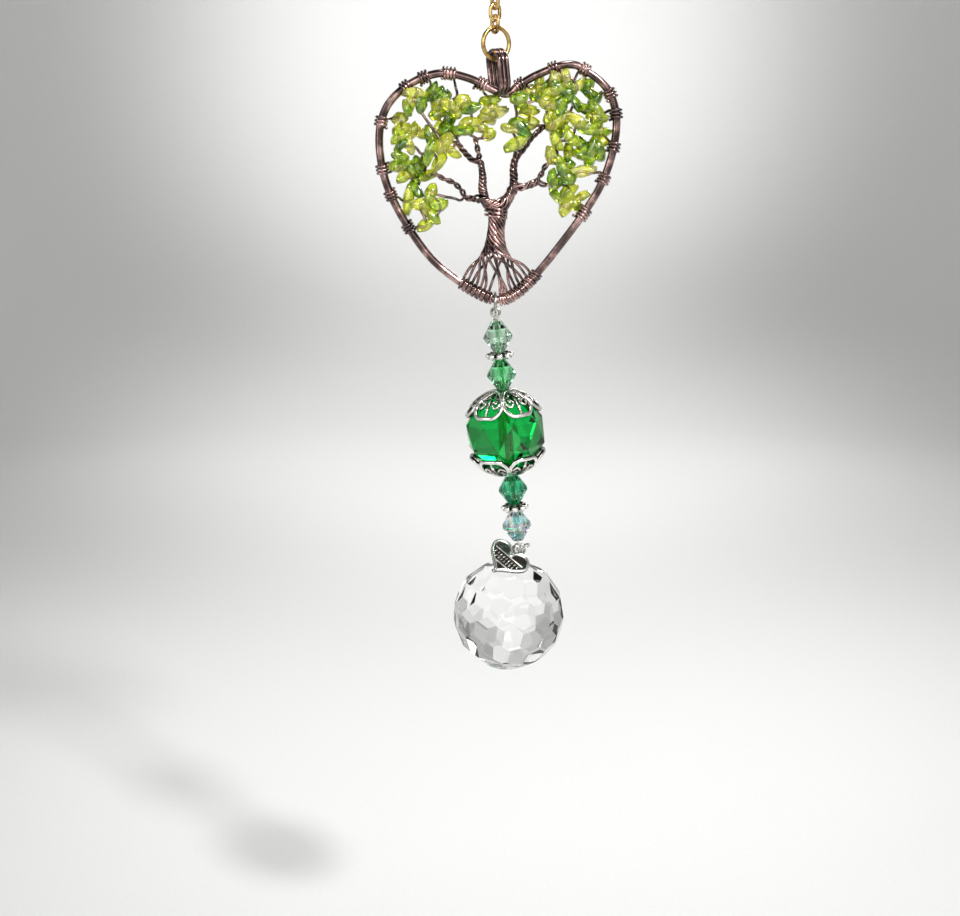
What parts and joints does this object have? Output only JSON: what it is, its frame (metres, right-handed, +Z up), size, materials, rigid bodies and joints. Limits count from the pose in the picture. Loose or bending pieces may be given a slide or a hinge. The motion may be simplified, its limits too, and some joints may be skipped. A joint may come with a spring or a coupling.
{
  "type": "crystal suncatcher",
  "caption": "Hanging window ornament: wire heart holding a wire tree with stone chip leaves, over cut glass beads, a small heart charm and a faceted crystal ball that scatters light.",
  "frame": {"origin": "under the top of the hanging ring, where it rests on its hook", "axes": "+Z up, +X to the right seen from the front, +Y away from the viewer: the heart lies in the XZ plane and its charm faces -Y"},
  "size_m": [0.0644, 0.03, 0.1948],
  "materials": {
    "brass": "antiqued, worn bright on the outer sides",
    "copper": "antique copper wire, dark with worn pinkish highlights",
    "peridot": "polished tumbled peridot, see-through green",
    "silver": "antique silver tone, bright on the ridges and dark in the recesses",
    "pale_glass": "cut glass, very pale green",
    "mid_glass": "cut glass, mid green",
    "dark_glass": "cut glass, deep emerald green",
    "rainbow_glass": "clear cut glass with a rainbow coating",
    "emerald_glass": "cut glass, emerald green",
    "crystal": "clear cut crystal"
  },
  "bodies": {
    "root": {"hanging_ring": "brass", "chain_link_1": "brass", "chain_link_2": "brass", "chain_link_3": "brass", "chain_link_4": "brass", "chain_link_5": "brass", "brass_ring": "brass", "bail": "copper", "heart_frame": "copper", "wire_tree": "copper", "stone_string_01": "peridot", "stone_string_02": "peridot", "stone_string_03": "peridot", "stone_string_04": "peridot", "stone_string_05": "peridot", "stone_string_06": "peridot", "stone_string_07": "peridot", "stone_string_08": "peridot", "stone_string_09": "peridot", "stone_string_10": "peridot", "stone_string_11": "peridot", "stone_string_12": "peridot", "stone_string_13": "peridot", "stone_string_14": "peridot", "stone_string_15": "peridot", "stone_string_16": "peridot", "tip_link": "silver", "eye_pin": "silver", "spacer_1": "silver", "spacer_2": "silver", "bead_cap_top": "silver", "bead_cap_bottom": "silver", "ball_peg": "silver", "heart_charm": "silver", "charm_ring": "silver", "bicone_1": "pale_glass", "bicone_2": "mid_glass", "bicone_3": "dark_glass", "bicone_4": "rainbow_glass", "green_bead": "emerald_glass", "crystal_ball": "crystal"}
  },
  "joints": []
}
